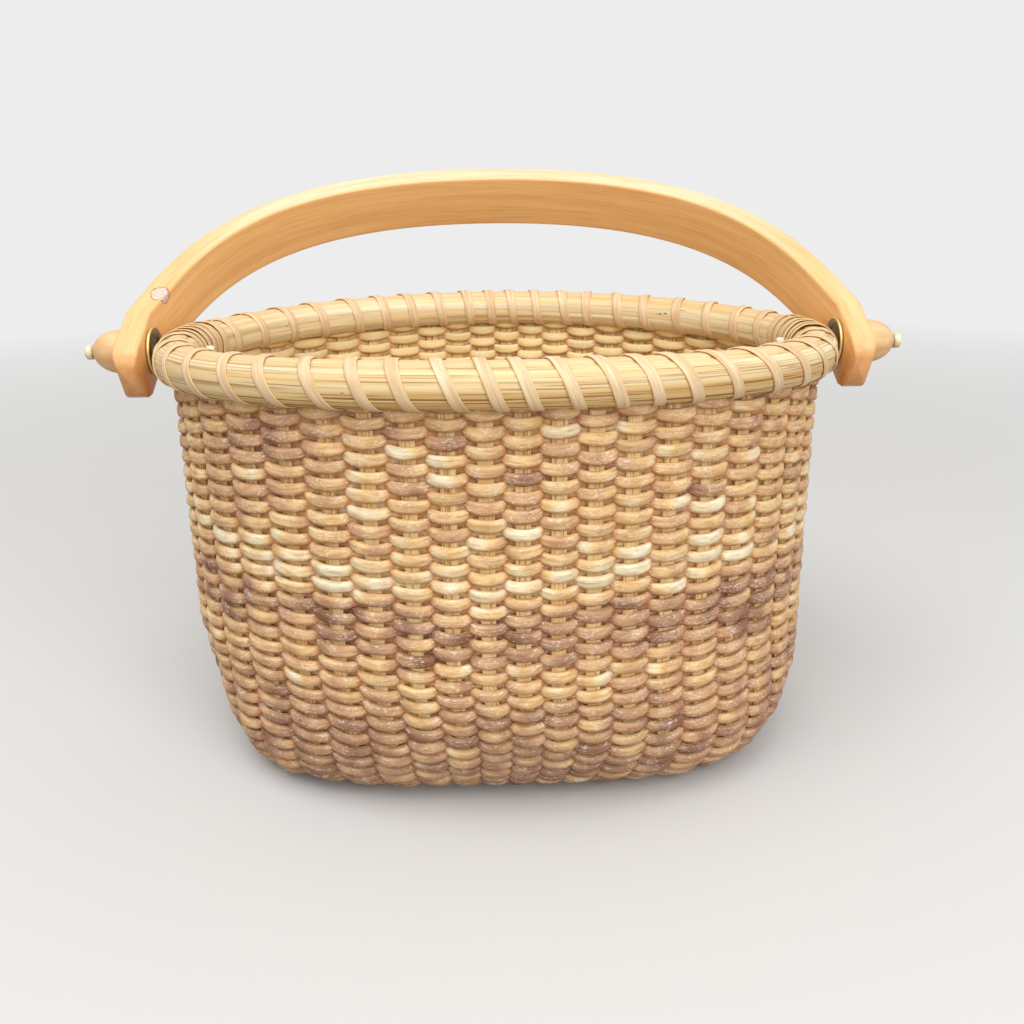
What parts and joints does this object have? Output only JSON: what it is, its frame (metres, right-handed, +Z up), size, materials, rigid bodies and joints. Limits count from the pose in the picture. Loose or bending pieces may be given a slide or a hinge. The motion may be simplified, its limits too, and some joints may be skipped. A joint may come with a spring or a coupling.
{
  "type": "oval woven basket",
  "caption": "Oval cane basket on a wooden base board, with upright staves, lashed half-round hoops and a bent wooden handle that swings on pegs at the two ends of the rim.",
  "frame": {"origin": "centre of the base board's underside, on the floor the basket stands on", "axes": "+Z up, +X along the basket's long axis towards the right-hand pivot, +Y towards the back, where the handle leans at rest"},
  "size_m": [0.2646, 0.1752, 0.1853],
  "materials": {
    "woven_cane": "matte, mottled brown and cream cane",
    "stave_rattan": "matte, fine upright grain",
    "hoop_rattan": "satin straw colour with dark lengthwise grain",
    "cap_rattan": "satin",
    "lashing_cane": "smooth, slightly glossy cane skin",
    "board_wood": "satin",
    "handle_wood": "smooth satin, pale wood",
    "pin_peg": "smooth, bone white",
    "washer_brass": "aged, satin with a bright edge",
    "knob_wood": "smooth satin, turned"
  },
  "bodies": {
    "basket": {"base_board": "board_wood", "stave_01": "stave_rattan", "stave_02": "stave_rattan", "stave_03": "stave_rattan", "stave_04": "stave_rattan", "stave_05": "stave_rattan", "stave_06": "stave_rattan", "stave_07": "stave_rattan", "stave_08": "stave_rattan", "stave_09": "stave_rattan", "stave_10": "stave_rattan", "stave_11": "stave_rattan", "stave_12": "stave_rattan", "stave_13": "stave_rattan", "stave_14": "stave_rattan", "stave_15": "stave_rattan", "stave_16": "stave_rattan", "stave_17": "stave_rattan", "stave_18": "stave_rattan", "stave_19": "stave_rattan", "stave_20": "stave_rattan", "stave_21": "stave_rattan", "stave_22": "stave_rattan", "stave_23": "stave_rattan", "stave_24": "stave_rattan", "stave_25": "stave_rattan", "stave_26": "stave_rattan", "stave_27": "stave_rattan", "stave_28": "stave_rattan", "stave_29": "stave_rattan", "stave_30": "stave_rattan", "stave_31": "stave_rattan", "stave_32": "stave_rattan", "stave_33": "stave_rattan", "stave_34": "stave_rattan", "stave_35": "stave_rattan", "stave_36": "stave_rattan", "stave_37": "stave_rattan", "stave_38": "stave_rattan", "stave_39": "stave_rattan", "stave_40": "stave_rattan", "stave_41": "stave_rattan", "stave_42": "stave_rattan", "stave_43": "stave_rattan", "stave_44": "stave_rattan", "stave_45": "stave_rattan", "woven_wall": "woven_cane", "outer_rim": "hoop_rattan", "inner_rim": "hoop_rattan", "rim_cap": "cap_rattan", "rim_lashing_1": "lashing_cane", "rim_lashing_2": "lashing_cane", "pivot_pin_left": "pin_peg", "pivot_pin_right": "pin_peg", "washer_left": "washer_brass", "washer_right": "washer_brass", "knob_left": "knob_wood", "knob_right": "knob_wood"},
    "handle": {"handle": "handle_wood"}
  },
  "joints": [
    {"name": "handle_swing", "type": "hinge", "parent": "basket", "child": "handle", "pos_m": [0, 0, 0.1304], "axis": [1, 0, 0], "range_deg": [-29, 151]}
  ]
}
